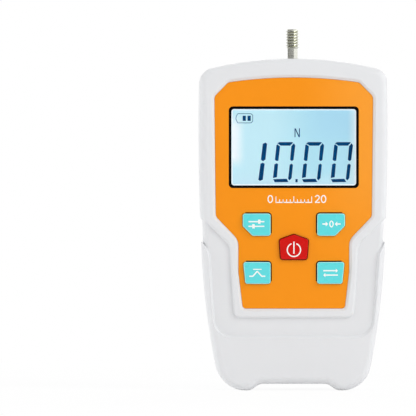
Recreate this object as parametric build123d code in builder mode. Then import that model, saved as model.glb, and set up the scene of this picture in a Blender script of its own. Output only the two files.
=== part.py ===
from build123d import *
import os

# A hand-held digital force gauge: a moulded two-part housing with a sculpted waist and a raised
# base cradle, a display, five push keys and a load cell that carries the threaded sensing shaft.
# Sizes are millimetres. +Z runs up the sensing shaft, the display looks towards -Y, and the
# origin is on the ground below the middle of the housing, which stands on its two base lobes.
# Sketches seen from the front lie on Plane.XZ.offset(h), where h is the distance in front of the
# parting plane, so everything behind the parting plane has a negative h.

os.makedirs("parts", exist_ok=True)

# ---- driving dimensions -------------------------------------------------------------------
body_height = 149.4
shoulder_x, shoulder_z = 42.0, 143.8      # where crown and side would meet, before rounding
side_x, side_z = 42.35, 112.0             # widest part of the side
waist_x, waist_z = 41.3, 71.0
hip_x, hip_z = 38.2, 31.7                 # a point on the tapering lower side
foot_x = 32.4                             # where side and ground would meet, before rounding
foot_inner_x = 19.6                       # inner end of a lobe's ground line
arch_x, arch_z = 15.2, 2.9                # flat arch between the two lobes
shoulder_round, foot_round = 6.5, 13.0
lobe_round, arch_round = 3.6, 5.0
half_depth = 17.0

waist_inset = 0.9                         # the waist channel's floor lies this far in
wall, back_wall = 2.0, 2.2
rib_thickness = 1.2
fit = 0.05                                # clearance between a pin, screw or plug and its hole
channel_floor_h = 15.2
rim_h = 16.6
panel_h = 15.7
panel_thickness = 1.5
panel_seat_h = panel_h - panel_thickness
front_wall_back_h = panel_seat_h - wall
cavity_inset = waist_inset + wall

window_width, window_height = 58.6, 36.8
window_z = 109.45
bezel_width = 1.2
board_front_h = 6.4
board_thickness = 1.6
board_back_h = board_front_h - board_thickness

key_face_h = half_depth
key_travel = 0.8
key_gap = 0.2                             # clearance round a key, in the panel and in its guide
key_flange = 0.9                          # how far a key's retaining flange stands out
switch_size, switch_height = 6.0, 3.5
switch_top_h = board_front_h + switch_height
key_flange_h = switch_top_h + key_travel + key_gap
key_flange_top_h = front_wall_back_h - key_gap
plunger_r = 1.7
plunger_entry = 1.0                       # how deep a plunger stands in its switch at rest

shaft_r = 2.3
thread_r = 3.0                            # M6 male end for tips and grips
shaft_top_z = 162.9
thread_length = 8.1
cell_left_x, cell_right_x = -33.0, 9.0
cell_bottom_z, cell_height = 118.0, 11.0
cell_width = 8.0
cell_hole_r = 4.3
cell_hole_xs = (-20.5, -9.5)
overload_gap = 0.35
guide_r, guide_flange_r = 5.0, 6.2        # the bush that the shaft leaves through
guide_seat_r = 8.0

stand_spacing_x, stand_spacing_z = 40.0, 60.0
stand_z = 88.0                            # middle of the four stand inserts
stand_thread_r = 2.0                      # M4
insert_r = 3.9

housing_screw_xz = [(-34.8, 137.0), (34.8, 137.0), (-28.0, 13.0), (28.0, 13.0)]
housing_screw_r = 1.45
board_screw_xz = [(-27.5, 84.5), (27.5, 84.5), (-25.5, 36.0), (25.5, 36.0)]
chassis_screw_xz = [(-30.0, 54.0), (30.0, 54.0), (-30.0, 95.0), (30.0, 95.0)]

socket_r, socket_body_r = 4.0, 5.4
socket_bore_r = 2.8
socket_seat_r = 7.5
battery_r = 7.0
battery_length = 50.0
battery_zs = (52.0, 66.4, 80.8)
battery_h = -2.75

made = []


def finish(piece, name):
    """Label a finished piece, write its STEP file and note its name."""
    piece.label = name
    export_step(piece, f"parts/{name}.step")
    made.append(name)


def both_sides(outline, x, z, near=0.05):
    """An outline's corners at (x, z) and at its mirror image."""
    return [v for v in outline.vertices() if abs(abs(v.X) - x) < near and abs(v.Y - z) < near]


# ---- outlines seen from the front ---------------------------------------------------------
with BuildSketch() as body_outline:
    with BuildLine():
        crown = TangentArc((0, body_height), (shoulder_x, shoulder_z), tangent=(1, 0))
        side = ThreePointArc(crown @ 1, (side_x, side_z), (waist_x, waist_z))
        lower_side = ThreePointArc(side @ 1, (hip_x, hip_z), (foot_x, 0))
        Polyline(lower_side @ 1, (foot_inner_x, 0), (arch_x, arch_z), (0, arch_z))
        mirror(about=Plane.YZ)
    make_face()
    fillet(both_sides(body_outline, shoulder_x, shoulder_z), radius=shoulder_round)
    fillet(both_sides(body_outline, foot_x, 0), radius=foot_round)
    fillet(both_sides(body_outline, foot_inner_x, 0), radius=lobe_round)
    fillet(both_sides(body_outline, arch_x, arch_z), radius=arch_round)

with BuildSketch() as core_outline:
    add(body_outline.sketch)
    offset(amount=-waist_inset, mode=Mode.REPLACE)

with BuildSketch() as cavity_outline:
    add(body_outline.sketch)
    offset(amount=-cavity_inset, mode=Mode.REPLACE)

# The upper block carries the panel, and narrows below the waist to a rim round it.
above_body_z = body_height + 5
rim_top_x, rim_top_z = 45.0, 80.9
rim_elbow_x, rim_elbow_z = 28.9, 65.4
rim_bend_x, rim_bend_z = 28.6, 53.3
rim_foot_x, rim_foot_z = 27.0, 32.6
rim_elbow_round, rim_foot_round = 7.0, 3.4
with BuildSketch() as upper_outline:
    with BuildLine():
        Polyline((0, above_body_z), (rim_top_x, above_body_z), (rim_top_x, rim_top_z),
                 (rim_elbow_x, rim_elbow_z), (rim_bend_x, rim_bend_z),
                 (rim_foot_x, rim_foot_z), (0, rim_foot_z))
        mirror(about=Plane.YZ)
    make_face()
    fillet(both_sides(upper_outline, rim_elbow_x, rim_elbow_z), radius=rim_elbow_round)
    fillet(both_sides(upper_outline, rim_foot_x, rim_foot_z), radius=rim_foot_round)
    add(body_outline.sketch, mode=Mode.INTERSECT)

# The cradle is the raised base: everything outside this bowl-shaped inner edge.
cradle_top_x, cradle_top_z = 45.0, 72.0
cradle_elbow_x, cradle_elbow_z = 37.6, 61.9
cradle_foot_x, cradle_foot_z = 35.1, 24.7
cradle_elbow_round, cradle_foot_round = 3.0, 8.0
with BuildSketch() as bowl_outline:
    with BuildLine():
        Polyline((0, above_body_z), (cradle_top_x, above_body_z),
                 (cradle_top_x, cradle_top_z), (cradle_elbow_x, cradle_elbow_z),
                 (cradle_foot_x, cradle_foot_z), (0, cradle_foot_z))
        mirror(about=Plane.YZ)
    make_face()
    fillet(both_sides(bowl_outline, cradle_elbow_x, cradle_elbow_z), radius=cradle_elbow_round)
    fillet(both_sides(bowl_outline, cradle_foot_x, cradle_foot_z), radius=cradle_foot_round)

# The four-sided band at each flank that the waist channel opens into.
band_x, band_z = 38.3, 74.5
with BuildSketch() as waist_band:
    with BuildLine():
        Polyline((rim_top_x, rim_top_z), (band_x, band_z), (cradle_elbow_x, cradle_elbow_z),
                 (cradle_top_x, cradle_top_z), close=True)
    make_face()
    mirror(about=Plane.YZ)
    add(core_outline.sketch, mode=Mode.SUBTRACT)

with BuildSketch() as rear_outline:
    add(body_outline.sketch)
    add(waist_band.sketch, mode=Mode.SUBTRACT)

# A shadow groove runs round the rear housing where it meets the front one.
seam_depth, seam_width = 0.35, 0.4
with BuildSketch() as seam_core:
    add(rear_outline.sketch)
    offset(amount=-seam_depth, kind=Kind.INTERSECTION, mode=Mode.REPLACE)
with BuildSketch() as seam_outline:
    add(rear_outline.sketch)
    add(seam_core.sketch, mode=Mode.SUBTRACT)

# The panel follows the rim: cut shoulders above, a waist, and a narrow straight-sided tail.
panel_top_z = 140.8
panel_shoulder = (29.5, 138.6)
panel_corner = (35.7, 132.3)
panel_hip = (35.1, 78.3)
panel_waist = (24.9, 67.7)
panel_bend = (24.9, 53.3)
panel_foot = (22.95, 36.9)
panel_corner_round, panel_waist_round, panel_foot_round = 3.0, 6.7, 1.5
with BuildSketch() as panel_outline:
    with BuildLine():
        brow = TangentArc((0, panel_top_z), panel_shoulder, tangent=(1, 0))
        Polyline(brow @ 1, panel_corner, panel_hip, panel_waist, panel_bend, panel_foot,
                 (0, panel_foot[1]))
        mirror(about=Plane.YZ)
    make_face()
    for corner in (panel_shoulder, panel_corner, panel_hip):
        fillet(both_sides(panel_outline, *corner), radius=panel_corner_round)
    fillet(both_sides(panel_outline, *panel_waist), radius=panel_waist_round)
    fillet(both_sides(panel_outline, *panel_foot), radius=panel_foot_round)

# ---- keys: outlines, as corner lists from the front ---------------------------------------
key_in_x, key_out_x = 10.5, 23.0
upper_key_top_z, upper_key_foot_z = 79.6, 69.6
lower_key_top_z, lower_key_foot_z = 57.8, 48.0
key_snip = 4.4                            # the cut corner of an upper key
key_lean = 1.0                            # how far a lower key's outer side leans in
lower_key_out_x = key_out_x - 0.2
upper_key = [(key_in_x, upper_key_top_z), (key_out_x, upper_key_top_z),
             (key_out_x, upper_key_foot_z + key_snip), (key_out_x - key_snip, upper_key_foot_z),
             (key_in_x, upper_key_foot_z)]
lower_key = [(key_in_x, lower_key_top_z), (lower_key_out_x, lower_key_top_z),
             (lower_key_out_x - key_lean, lower_key_foot_z), (key_in_x, lower_key_foot_z)]
house_key = [(0, 70.4), (6.7, 68.0), (6.1, 58.8), (-6.1, 58.8), (-6.7, 68.0)]


def mirrored(corners):
    """The same corners on the other side of the middle."""
    return [(-x, z) for x, z in corners]


# name: (corners, corner radius, switch position)
keys = {
    "set_key": (mirrored(upper_key), 1.1, (-16.7, 74.6)),
    "zero_key": (upper_key, 1.1, (16.7, 74.6)),
    "peak_key": (mirrored(lower_key), 1.1, (-16.4, 52.9)),
    "unit_key": (lower_key, 1.1, (16.4, 52.9)),
    "power_key": (house_key, 1.3, (0.0, 64.2)),
}


def key_face(corners, radius, grow=0.0):
    """A key's outline as a face, grown by an even margin."""
    with BuildSketch() as outline:
        with BuildLine():
            Polyline(*corners, close=True)
        make_face()
        fillet(outline.vertices(), radius=radius)
        if grow:
            offset(amount=grow, mode=Mode.REPLACE)
    return outline.sketch


# ---- front housing ------------------------------------------------------------------------
edge_round = 3.2                          # round of the housing's long outer edges
core_round = 2.0
rim_round = 1.25
crown_foot_z = 81.0                       # the long edges' rounding ends here, above the waist
bowl_draft = -35
bowl_top_h = half_depth + 0.2
rim_slope = -50                           # the bevel that runs down from the rim to the panel
rim_slope_foot_h, rim_slope_top_h = panel_h - 0.1, rim_h + 0.2
panel_clearance = 0.1
screw_boss_r = 3.4
screw_pilot_r, screw_pilot_depth = housing_screw_r + fit, 8.0
board_boss_r = 2.6
board_pilot_r, board_pilot_depth = 1.25, 5.0
window_corner_r = 1.9
nose_corner_r = 1.5
collar_inner = key_flange + key_gap       # a key's guide collar stands this far round its outline
collar_outer = collar_inner + 0.8
collar_back_h = switch_top_h
front_rib_xs = (-12.0, 0.0, 12.0)
front_rib_foot_z, front_rib_top_z = 5.0, 28.0
front_rib_height = 2.5

guide_seat_foot_z = body_height - 7.0
guide_flange_foot_z, guide_flange_top_z = body_height - 5.8, body_height - 4.2
socket_seat_top_z, socket_shoulder_z = 12.0, 7.0

with BuildPart() as channel_core:
    with BuildSketch(Plane.XZ):
        add(core_outline.sketch)
    extrude(amount=channel_floor_h)
    fillet(channel_core.faces().sort_by(Axis.Y)[0].edges(), radius=core_round)

with BuildPart() as upper_block:
    with BuildSketch(Plane.XZ):
        add(upper_outline.sketch)
    extrude(amount=rim_h)
    face_edges = upper_block.faces().sort_by(Axis.Y)[0].edges()
    fillet([e for e in face_edges if e.center().Z > crown_foot_z], radius=edge_round)
    face_edges = upper_block.faces().sort_by(Axis.Y)[0].edges()
    fillet([e for e in face_edges if e.center().Z < crown_foot_z - 1], radius=rim_round)

with BuildPart() as cradle_block:
    with BuildSketch(Plane.XZ):
        add(body_outline.sketch)
    extrude(amount=half_depth)
    fillet(cradle_block.faces().sort_by(Axis.Y)[0].edges(), radius=edge_round)
    with BuildSketch(Plane.XZ):
        add(bowl_outline.sketch)
    extrude(amount=channel_floor_h, mode=Mode.SUBTRACT)
    with BuildSketch(Plane.XZ.offset(channel_floor_h)):
        add(bowl_outline.sketch)
    extrude(amount=bowl_top_h - channel_floor_h, taper=bowl_draft, mode=Mode.SUBTRACT)

nose_width, nose_height = window_width - bezel_width, window_height - bezel_width


def seat_half(side):
    """A half-round seat for the shaft guide above and one for the charging socket below.

    Each half of the housing holds one half of both, so side is 1 for the front and -1 for the rear.
    """
    with BuildPart() as seats:
        with BuildSketch(Plane.XY.offset(guide_seat_foot_z)):
            Circle(guide_seat_r)
        extrude(amount=body_height - cavity_inset + 1 - guide_seat_foot_z)
        with BuildSketch(Plane.XY.offset(arch_z + 1)):
            Circle(socket_seat_r)
        extrude(amount=socket_seat_top_z - arch_z - 1)
        split(bisect_by=Plane.XZ, keep=Keep.TOP if side > 0 else Keep.BOTTOM)
    return seats.part


# What the guide and the socket take out of both halves.
with BuildPart() as seat_bores:
    with BuildSketch(Plane.XY.offset(guide_seat_foot_z - 1)):
        Circle(guide_r)
    extrude(amount=above_body_z - guide_seat_foot_z)
    with BuildSketch(Plane.XY.offset(guide_flange_foot_z)):
        Circle(guide_flange_r + fit)
    extrude(amount=guide_flange_top_z - guide_flange_foot_z)
    with BuildSketch(Plane.XY.offset(-1)):
        Circle(socket_r + fit)
    extrude(amount=socket_shoulder_z + 1)
    with BuildSketch(Plane.XY.offset(socket_shoulder_z)):
        Circle(socket_body_r + fit)
    extrude(amount=socket_seat_top_z - socket_shoulder_z + 1)

with BuildPart() as front_housing:
    add(channel_core.part)
    add(upper_block.part)
    add(cradle_block.part)
    # pocket for the panel, with a slope running down to it from the rim
    with BuildSketch(Plane.XZ.offset(panel_seat_h)):
        add(panel_outline.sketch)
        offset(amount=panel_clearance, mode=Mode.REPLACE)
    extrude(amount=half_depth, mode=Mode.SUBTRACT)
    with BuildSketch(Plane.XZ.offset(rim_slope_foot_h)):
        add(panel_outline.sketch)
        offset(amount=panel_clearance, mode=Mode.REPLACE)
    extrude(amount=rim_slope_top_h - rim_slope_foot_h, taper=rim_slope, mode=Mode.SUBTRACT)
    # hollow inside
    with BuildSketch(Plane.XZ):
        add(cavity_outline.sketch)
    extrude(amount=front_wall_back_h, mode=Mode.SUBTRACT)
    # bosses for the housing screws and the board
    with BuildSketch(Plane.XZ):
        with Locations(*housing_screw_xz):
            Circle(screw_boss_r)
    extrude(amount=front_wall_back_h)
    with BuildSketch(Plane.XZ.offset(board_front_h)):
        with Locations(*board_screw_xz):
            Circle(board_boss_r)
    extrude(amount=front_wall_back_h - board_front_h)
    with BuildSketch(Plane.XZ):
        with Locations(*housing_screw_xz):
            Circle(screw_pilot_r)
    extrude(amount=screw_pilot_depth, mode=Mode.SUBTRACT)
    with BuildSketch(Plane.XZ.offset(board_front_h)):
        with Locations(*board_screw_xz):
            Circle(board_pilot_r)
    extrude(amount=board_pilot_depth, mode=Mode.SUBTRACT)
    # display opening
    with BuildSketch(Plane.XZ.offset(front_wall_back_h)):
        with Locations((0, window_z)):
            RectangleRounded(nose_width, nose_height, nose_corner_r)
    extrude(amount=wall, mode=Mode.SUBTRACT)
    # key openings, each with a collar behind it that keeps the key's flange square
    with BuildSketch(Plane.XZ.offset(collar_back_h)):
        for corners, radius, _ in keys.values():
            add(key_face(corners, radius, collar_outer))
        for corners, radius, _ in keys.values():
            add(key_face(corners, radius, collar_inner), mode=Mode.SUBTRACT)
    extrude(amount=front_wall_back_h - collar_back_h)
    with BuildSketch(Plane.XZ.offset(front_wall_back_h)):
        for corners, radius, _ in keys.values():
            add(key_face(corners, radius, key_gap))
    extrude(amount=wall, mode=Mode.SUBTRACT)
    # ribs that stiffen the wide plain wall of the base
    with BuildSketch(Plane.XZ.offset(front_wall_back_h - front_rib_height)):
        with Locations(*[(x, (front_rib_foot_z + front_rib_top_z) / 2) for x in front_rib_xs]):
            Rectangle(rib_thickness, front_rib_top_z - front_rib_foot_z)
    extrude(amount=front_rib_height)
    add(seat_half(1))
    add(seat_bores.part, mode=Mode.SUBTRACT)
finish(front_housing.part, "front_housing")

# ---- rear housing -------------------------------------------------------------------------
lip_height = 1.5
lip_gap = 0.1
lip_thickness = 1.2
lip_overlap = 0.5                         # how deep the lip's root is sunk in the wall
lip_relief = 0.3                          # clearance where the lip passes a screw boss
lip_gap_width, lip_gap_height = 18.0, 12.0
screw_head_depth = 3.0
screw_head_r = 2.8
screw_hole_r, screw_head_hole_r = housing_screw_r + 3 * fit, screw_head_r + 4 * fit
pad_r = 3.5
pad_height = 2.0
pad_pilot_r, pad_pilot_depth = 1.25, 3.2
insert_hole_depth = 4.0                   # right through the back wall
back_round = 4.0
back_rib_height = 1.5
back_rib_xs = (-10.0, 10.0)
back_rib_zs = (42.0, 75.0, 104.0, 131.0)
back_rib_half_width = 30.0
rear_floor_h = back_wall - half_depth     # inner face of the back wall
plate_back_h = rear_floor_h + pad_height

lip_root = 2.5                            # the lip grows from the wall this far behind the parting
lip_inner = cavity_inset + lip_gap + lip_thickness

with BuildSketch() as lip_hole:
    add(body_outline.sketch)
    offset(amount=-lip_inner, mode=Mode.REPLACE)

with BuildSketch() as lip_root_outline:
    add(body_outline.sketch)
    offset(amount=lip_overlap - cavity_inset, mode=Mode.REPLACE)
    add(lip_hole.sketch, mode=Mode.SUBTRACT)

with BuildSketch() as lip_outline:
    add(body_outline.sketch)
    offset(amount=-cavity_inset - lip_gap, mode=Mode.REPLACE)
    add(lip_hole.sketch, mode=Mode.SUBTRACT)
    with Locations(*housing_screw_xz):
        Circle(screw_boss_r + lip_relief, mode=Mode.SUBTRACT)
    with Locations((0, body_height - cavity_inset), (0, arch_z + cavity_inset)):
        Rectangle(lip_gap_width, lip_gap_height, mode=Mode.SUBTRACT)

with BuildPart() as rear_housing:
    with BuildSketch(Plane.XZ):
        add(body_outline.sketch)
    extrude(amount=-half_depth)
    fillet(rear_housing.faces().sort_by(Axis.Y)[-1].edges(), radius=back_round)
    with BuildSketch(Plane.XZ):
        add(waist_band.sketch)
    extrude(amount=-half_depth, mode=Mode.SUBTRACT)
    with BuildSketch(Plane.XZ):
        add(seam_outline.sketch)
    extrude(amount=-seam_width, mode=Mode.SUBTRACT)
    with BuildSketch(Plane.XZ):
        add(cavity_outline.sketch)
    extrude(amount=rear_floor_h, mode=Mode.SUBTRACT)
    # locating lip, which enters the front housing all round
    with BuildSketch(Plane.XZ.offset(-lip_root)):
        add(lip_root_outline.sketch)
    extrude(amount=lip_root)
    with BuildSketch(Plane.XZ.offset(-lip_root / 2)):
        add(lip_outline.sketch)
    extrude(amount=lip_root / 2 + lip_height)
    # screw bosses, counterbored from the back
    with BuildSketch(Plane.XZ):
        with Locations(*housing_screw_xz):
            Circle(screw_boss_r)
    extrude(amount=rear_floor_h)
    with BuildSketch(Plane.XZ):
        with Locations(*housing_screw_xz):
            Circle(screw_hole_r)
    extrude(amount=-half_depth, mode=Mode.SUBTRACT)
    with BuildSketch(Plane.XZ.offset(-half_depth)):
        with Locations(*housing_screw_xz):
            Circle(screw_head_hole_r)
    extrude(amount=screw_head_depth, mode=Mode.SUBTRACT)
    # a grid of low ribs under the chassis plate
    with BuildSketch(Plane.XZ.offset(rear_floor_h)):
        with Locations(*[(x, (back_rib_zs[0] + back_rib_zs[-1]) / 2) for x in back_rib_xs]):
            Rectangle(rib_thickness, back_rib_zs[-1] - back_rib_zs[0])
        with Locations(*[(0, z) for z in back_rib_zs]):
            Rectangle(2 * back_rib_half_width, rib_thickness)
    extrude(amount=back_rib_height)
    # pads that carry the chassis plate, and holes for the stand inserts
    with BuildSketch(Plane.XZ.offset(rear_floor_h)):
        with Locations(*chassis_screw_xz):
            Circle(pad_r)
    extrude(amount=pad_height)
    with BuildSketch(Plane.XZ.offset(plate_back_h)):
        with Locations(*chassis_screw_xz):
            Circle(pad_pilot_r)
    extrude(amount=-pad_pilot_depth, mode=Mode.SUBTRACT)
    with BuildSketch(Plane.XZ.offset(-half_depth)):
        with Locations((0, stand_z)):
            with GridLocations(stand_spacing_x, stand_spacing_z, 2, 2):
                Circle(insert_r + 2 * fit)
    extrude(amount=insert_hole_depth, mode=Mode.SUBTRACT)
    add(seat_half(-1))
    add(seat_bores.part, mode=Mode.SUBTRACT)
finish(rear_housing.part, "rear_housing")

# ---- face panel, display frame and window -------------------------------------------------
with BuildPart() as face_panel:
    with BuildSketch(Plane.XZ.offset(panel_seat_h)):
        add(panel_outline.sketch)
        with Locations((0, window_z)):
            RectangleRounded(window_width, window_height, window_corner_r, mode=Mode.SUBTRACT)
        for corners, radius, _ in keys.values():
            add(key_face(corners, radius, key_gap), mode=Mode.SUBTRACT)
    extrude(amount=panel_thickness)
finish(face_panel.part, "face_panel")

bezel_top_h = panel_h + 0.1
lens_width, lens_height = window_width - 2 * bezel_width, window_height - 2 * bezel_width
lens_corner_r, bezel_chamfer = 1.0, 0.2
lens_thickness = 1.1
with BuildPart() as display_bezel:
    with BuildSketch(Plane.XZ.offset(panel_seat_h)):
        with Locations((0, window_z)):
            RectangleRounded(window_width, window_height, window_corner_r)
            RectangleRounded(lens_width, lens_height, lens_corner_r, mode=Mode.SUBTRACT)
    extrude(amount=bezel_top_h - panel_seat_h)
    chamfer(display_bezel.faces().sort_by(Axis.Y)[0].edges(), length=bezel_chamfer)
finish(display_bezel.part, "display_bezel")

with BuildPart() as display_lens:
    with BuildSketch(Plane.XZ.offset(panel_seat_h)):
        with Locations((0, window_z)):
            RectangleRounded(lens_width, lens_height, lens_corner_r)
    extrude(amount=lens_thickness)
finish(display_lens.part, "display_lens")

# The holder's nose fills the housing's display opening; its skirt reaches back to the board.
view_width, view_height = 55.2, 33.4
glass_width, glass_height = 56.6, 34.8
glass_thickness = 2.0
glass_gap, glass_chamfer = 0.1, 0.6
skirt_width, skirt_height = 61.6, 39.6
skirt_corner_r, view_corner_r = 1.5, 0.6
glass_back_h = front_wall_back_h - glass_thickness
with BuildPart() as display_holder:
    with BuildSketch(Plane.XZ.offset(board_front_h)):
        with Locations((0, window_z)):
            RectangleRounded(skirt_width, skirt_height, skirt_corner_r)
            Rectangle(glass_width, glass_height, mode=Mode.SUBTRACT)
    extrude(amount=front_wall_back_h - board_front_h)
    with BuildSketch(Plane.XZ.offset(front_wall_back_h)):
        with Locations((0, window_z)):
            RectangleRounded(nose_width, nose_height, nose_corner_r)
            RectangleRounded(view_width, view_height, view_corner_r, mode=Mode.SUBTRACT)
    extrude(amount=wall)
finish(display_holder.part, "display_holder")

with BuildPart() as display_glass:
    with BuildSketch(Plane.XZ.offset(glass_back_h)):
        with Locations((0, window_z)):
            Rectangle(glass_width - glass_gap, glass_height - glass_gap)
    extrude(amount=glass_thickness)
    chamfer(display_glass.edges().filter_by(Axis.Y), length=glass_chamfer)
finish(display_glass.part, "display_glass")

with BuildPart() as display_backlight:
    with BuildSketch(Plane.XZ.offset(board_front_h)):
        with Locations((0, window_z)):
            Rectangle(glass_width - 2 * glass_gap, glass_height - 2 * glass_gap)
    extrude(amount=glass_back_h - board_front_h)
finish(display_backlight.part, "display_backlight")

# ---- keys, their switches and plungers ----------------------------------------------------
key_edge_round = 0.5
plunger_foot_h = switch_top_h - plunger_entry
for name, (corners, radius, switch_xz) in keys.items():
    with BuildPart() as key:
        with BuildSketch(Plane.XZ.offset(key_flange_h)):
            add(key_face(corners, radius, key_flange))
        extrude(amount=key_flange_top_h - key_flange_h)
        with BuildSketch(Plane.XZ.offset(key_flange_top_h)):
            add(key_face(corners, radius))
        extrude(amount=key_face_h - key_flange_top_h)
        fillet(key.faces().sort_by(Axis.Y)[0].edges(), radius=key_edge_round)
    finish(key.part, name)

    with BuildPart() as plunger:
        with BuildSketch(Plane.XZ.offset(plunger_foot_h)):
            with Locations(switch_xz):
                Circle(plunger_r)
        extrude(amount=key_flange_h - plunger_foot_h)
    finish(plunger.part, name.replace("key", "plunger"))

switch_places = [switch_xz for _, _, switch_xz in keys.values()]
with BuildPart() as switch_cases:
    with BuildSketch(Plane.XZ.offset(board_front_h)):
        with Locations(*switch_places):
            Rectangle(switch_size, switch_size)
    extrude(amount=switch_height)
    with BuildSketch(Plane.XZ.offset(plunger_foot_h - key_travel - 2 * fit)):
        with Locations(*switch_places):
            Circle(plunger_r + fit)
    extrude(amount=switch_height, mode=Mode.SUBTRACT)
finish(switch_cases.part, "switch_cases")

# ---- main board ---------------------------------------------------------------------------
board_half_width, board_foot_z, board_top_z = 31.0, 30.0, 131.5
board_corner_r, board_hole_r = 2.0, 1.4
with BuildPart() as main_board:
    with BuildSketch(Plane.XZ.offset(board_back_h)):
        with Locations((0, (board_foot_z + board_top_z) / 2)):
            RectangleRounded(2 * board_half_width, board_top_z - board_foot_z, board_corner_r)
        with Locations(*board_screw_xz):
            Circle(board_hole_r, mode=Mode.SUBTRACT)
    extrude(amount=board_thickness)
finish(main_board.part, "main_board")

chips = {(0.0, 40.0): (10.0, 10.0), (-13.0, 41.0): (5.0, 4.0), (14.0, 41.0): (6.0, 5.0)}
chip_height = 1.4
with BuildPart() as board_chips:
    with BuildSketch(Plane.XZ.offset(board_front_h)):
        for place, (chip_width, chip_length) in chips.items():
            with Locations(place):
                Rectangle(chip_width, chip_length)
    extrude(amount=chip_height)
finish(board_chips.part, "board_chips")

connector_places = [(-15.0, 33.0), (12.0, 33.0)]
connector_width, connector_length, connector_height = 7.5, 4.4, 4.0
with BuildPart() as board_connectors:
    with BuildSketch(Plane.XZ.offset(board_front_h)):
        with Locations(*connector_places):
            Rectangle(connector_width, connector_length)
    extrude(amount=connector_height)
finish(board_connectors.part, "board_connectors")

small_screw_r, small_screw_length = 1.2, 6.0
small_head_r, screw_head_height = 2.2, 1.6
with BuildPart() as board_screws:
    with BuildSketch(Plane.XZ.offset(board_back_h)):
        with Locations(*board_screw_xz):
            Circle(small_head_r)
    extrude(amount=-screw_head_height)
    with BuildSketch(Plane.XZ.offset(board_back_h)):
        with Locations(*board_screw_xz):
            Circle(small_screw_r)
    extrude(amount=small_screw_length)
finish(board_screws.part, "board_screws")

# ---- chassis plate and stand inserts ------------------------------------------------------
plate_thickness = 2.0
plate_front_h = plate_back_h + plate_thickness
plate_half_width, plate_foot_z, plate_top_z = 33.0, 48.0, 124.0
plate_corner_r, plate_hole_r = 3.0, 1.5
plate_slots = [(0.0, 82.0), (0.0, 67.0)]
plate_slot_length, plate_slot_width = 30.0, 8.0
spigot_r = 2.85                           # an insert's neck, which enters the plate
spigot_hole_r = spigot_r + fit
insert_thread_depth = 8.0
with BuildPart() as chassis_plate:
    with BuildSketch(Plane.XZ.offset(plate_back_h)):
        with Locations((0, (plate_foot_z + plate_top_z) / 2)):
            RectangleRounded(2 * plate_half_width, plate_top_z - plate_foot_z, plate_corner_r)
        with Locations(*plate_slots):
            SlotOverall(plate_slot_length, plate_slot_width, mode=Mode.SUBTRACT)
        with Locations(*chassis_screw_xz):
            Circle(plate_hole_r, mode=Mode.SUBTRACT)
        with Locations((0, stand_z)):
            with GridLocations(stand_spacing_x, stand_spacing_z, 2, 2):
                Circle(spigot_hole_r, mode=Mode.SUBTRACT)
    extrude(amount=plate_thickness)
finish(chassis_plate.part, "chassis_plate")

with BuildPart() as stand_inserts:
    with BuildSketch(Plane.XZ.offset(-half_depth)):
        with Locations((0, stand_z)):
            with GridLocations(stand_spacing_x, stand_spacing_z, 2, 2):
                Circle(insert_r)
    extrude(amount=plate_back_h + half_depth)
    with BuildSketch(Plane.XZ.offset(plate_back_h)):
        with Locations((0, stand_z)):
            with GridLocations(stand_spacing_x, stand_spacing_z, 2, 2):
                Circle(spigot_r)
    extrude(amount=plate_thickness)
    with BuildSketch(Plane.XZ.offset(-half_depth)):
        with Locations((0, stand_z)):
            with GridLocations(stand_spacing_x, stand_spacing_z, 2, 2):
                Circle(stand_thread_r)
    extrude(amount=insert_thread_depth, mode=Mode.SUBTRACT)
finish(stand_inserts.part, "stand_inserts")

chassis_head_r, chassis_screw_length = 2.5, 5.0
with BuildPart() as chassis_screws:
    with BuildSketch(Plane.XZ.offset(plate_front_h)):
        with Locations(*chassis_screw_xz):
            Circle(chassis_head_r)
    extrude(amount=screw_head_height)
    with BuildSketch(Plane.XZ.offset(plate_front_h)):
        with Locations(*chassis_screw_xz):
            Circle(small_screw_r)
    extrude(amount=-chassis_screw_length)
finish(chassis_screws.part, "chassis_screws")

# ---- load cell, its bracket and the sensing shaft -----------------------------------------
cell_mid_z = cell_bottom_z + cell_height / 2
cell_top_z = cell_bottom_z + cell_height
cell_screw_xs = (-30.0, -27.0)
cell_screw_r, cell_screw_bite = 1.0, 7.0
cell_slot_height = 4.0                    # of the slot that joins the dumb-bell's two holes
cell_corner_r = 0.8
shaft_foot_z = cell_top_z - 7.5
shaft_hole_foot_z = shaft_foot_z - 0.5
gauge_length, gauge_width, gauge_thickness = 5.0, 3.5, 0.2
with BuildPart() as load_cell:
    # the dumb-bell cut-out leaves four thin strips that bend under load
    with BuildSketch(Plane.XZ.offset(-cell_width / 2)):
        with Locations(((cell_left_x + cell_right_x) / 2, cell_mid_z)):
            RectangleRounded(cell_right_x - cell_left_x, cell_height, cell_corner_r)
        with Locations(*[(x, cell_mid_z) for x in cell_hole_xs]):
            Circle(cell_hole_r, mode=Mode.SUBTRACT)
        with Locations((sum(cell_hole_xs) / 2, cell_mid_z)):
            Rectangle(cell_hole_xs[1] - cell_hole_xs[0], cell_slot_height, mode=Mode.SUBTRACT)
    extrude(amount=cell_width)
    with BuildSketch(Plane.XY.offset(shaft_hole_foot_z)):
        Circle(shaft_r + fit)
    extrude(amount=cell_height, mode=Mode.SUBTRACT)
    with BuildSketch(Plane.XY.offset(cell_bottom_z)):
        with Locations(*[(x, 0) for x in cell_screw_xs]):
            Circle(cell_screw_r + fit)
    extrude(amount=cell_screw_bite, mode=Mode.SUBTRACT)
finish(load_cell.part, "load_cell")

with BuildPart() as strain_gauges:
    with BuildSketch(Plane.XY.offset(cell_top_z)):
        with Locations(*[(x, 0) for x in cell_hole_xs]):
            Rectangle(gauge_length, gauge_width)
    extrude(amount=gauge_thickness)
    with BuildSketch(Plane.XY.offset(cell_bottom_z)):
        with Locations(*[(x, 0) for x in cell_hole_xs]):
            Rectangle(gauge_length, gauge_width)
    extrude(amount=-gauge_thickness)
finish(strain_gauges.part, "strain_gauges")

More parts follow.
